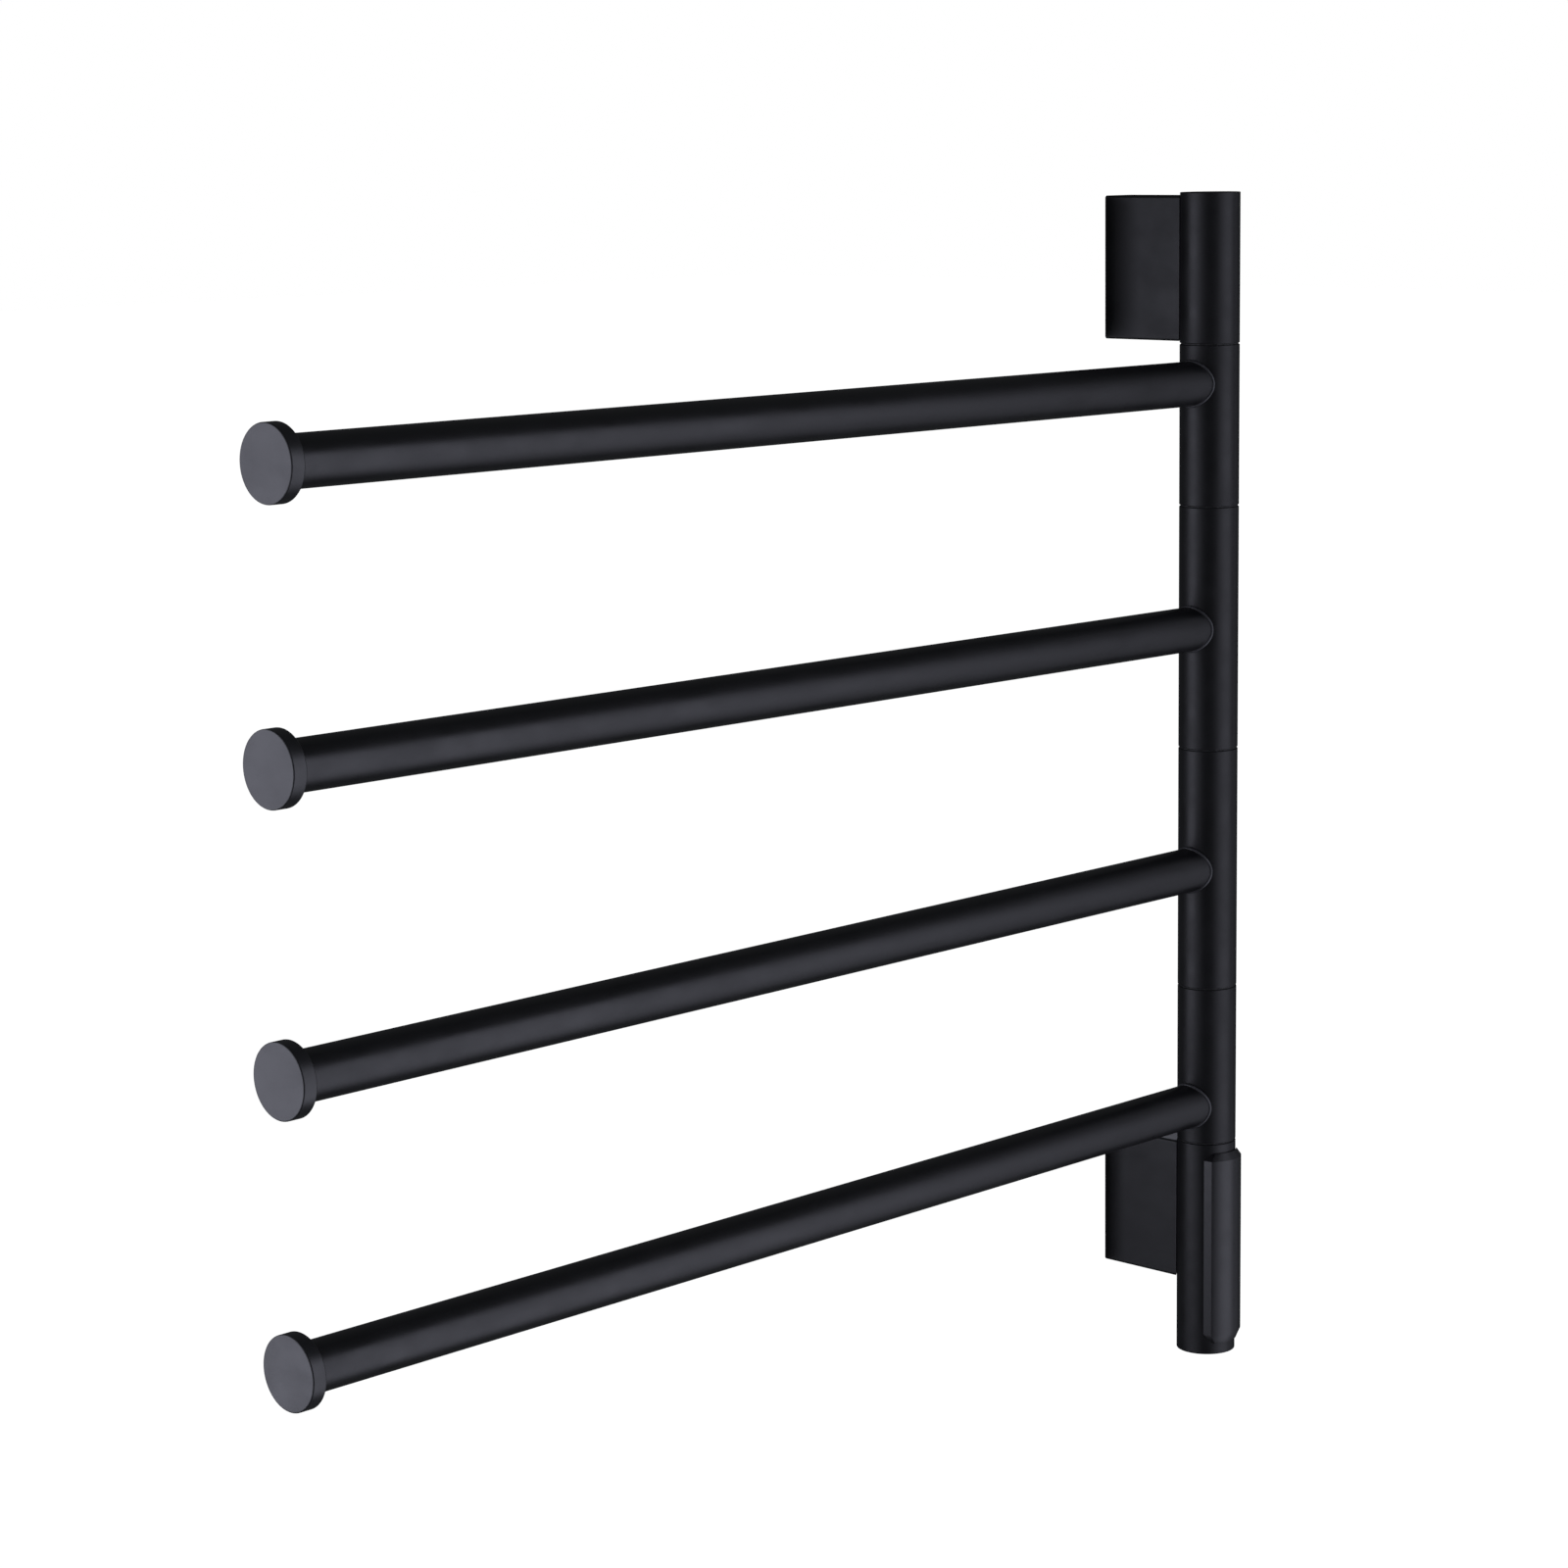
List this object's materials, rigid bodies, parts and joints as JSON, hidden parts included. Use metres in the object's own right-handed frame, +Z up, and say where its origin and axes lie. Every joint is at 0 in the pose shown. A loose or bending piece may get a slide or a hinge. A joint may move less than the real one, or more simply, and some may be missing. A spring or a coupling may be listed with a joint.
{
  "type": "swing-arm towel rack",
  "caption": "Wall-held towel rack: round bars with flat disc caps swing about an upright column on box brackets.",
  "frame": {"origin": "middle of the lower bracket's wall face, in the plane of the wall", "axes": "+Z up along the column, +Y into the wall, +X to the right as seen from the room; at rest the arms lie towards -X"},
  "size_m": [0.5238, 0.068, 0.5039],
  "materials": {
    "column_coat": "satin black powder coat on steel tube",
    "bar_coat": "satin black powder coat on steel tube",
    "cap_coat": "satin black powder coat on turned metal",
    "block_coat": "satin black powder coat on cast metal",
    "bright_steel": "turned steel",
    "plated_steel": "zinc plated steel",
    "black_nylon": "matte moulded nylon"
  },
  "bodies": {
    "root": {"upper_sleeve": "column_coat", "lower_sleeve": "column_coat", "top_plug": "column_coat", "bottom_plug": "column_coat", "screw_cover": "column_coat", "upper_block": "block_coat", "lower_block": "block_coat", "upper_wall_plate": "plated_steel", "lower_wall_plate": "plated_steel", "upper_rod_anchor": "plated_steel", "lower_rod_anchor": "plated_steel", "rod_nut": "plated_steel", "pivot_rod": "bright_steel", "wave_washer": "bright_steel", "rod_lock_screw_1": "bright_steel", "rod_lock_screw_2": "bright_steel", "upper_block_screw_1": "bright_steel", "upper_block_screw_2": "bright_steel", "lower_block_screw_1": "bright_steel", "lower_block_screw_2": "bright_steel", "upper_set_screw": "bright_steel", "lower_set_screw": "bright_steel", "slide_washer_1": "black_nylon", "slide_washer_2": "black_nylon", "slide_washer_3": "black_nylon", "slide_washer_4": "black_nylon", "slide_washer_5": "black_nylon"},
    "arm_1": {"hub_1": "column_coat", "upper_bush_1": "black_nylon", "lower_bush_1": "black_nylon", "bar_1": "bar_coat", "bar_anchor_1": "plated_steel", "bar_screw_1": "bright_steel", "bar_cap_1": "cap_coat"},
    "arm_2": {"hub_2": "column_coat", "upper_bush_2": "black_nylon", "lower_bush_2": "black_nylon", "bar_2": "bar_coat", "bar_anchor_2": "plated_steel", "bar_screw_2": "bright_steel", "bar_cap_2": "cap_coat"},
    "arm_3": {"hub_3": "column_coat", "upper_bush_3": "black_nylon", "lower_bush_3": "black_nylon", "bar_3": "bar_coat", "bar_anchor_3": "plated_steel", "bar_screw_3": "bright_steel", "bar_cap_3": "cap_coat"},
    "arm_4": {"hub_4": "column_coat", "upper_bush_4": "black_nylon", "lower_bush_4": "black_nylon", "bar_4": "bar_coat", "bar_anchor_4": "plated_steel", "bar_screw_4": "bright_steel", "bar_cap_4": "cap_coat"}
  },
  "joints": [
    {"name": "arm_1_swing", "type": "hinge", "parent": "root", "child": "arm_1", "pos_m": [0, -0.05, 0.3614], "axis": [0, 0, 1], "range_deg": [-4.45, 183.55]},
    {"name": "arm_2_swing", "type": "hinge", "parent": "root", "child": "arm_2", "pos_m": [0, -0.05, 0.2571], "axis": [0, 0, 1], "range_deg": [-4, 184]},
    {"name": "arm_3_swing", "type": "hinge", "parent": "root", "child": "arm_3", "pos_m": [0, -0.05, 0.1528], "axis": [0, 0, 1], "range_deg": [-4, 184]},
    {"name": "arm_4_swing", "type": "hinge", "parent": "root", "child": "arm_4", "pos_m": [0, -0.05, 0.0485], "axis": [0, 0, 1], "range_deg": [-4, 184]}
  ]
}
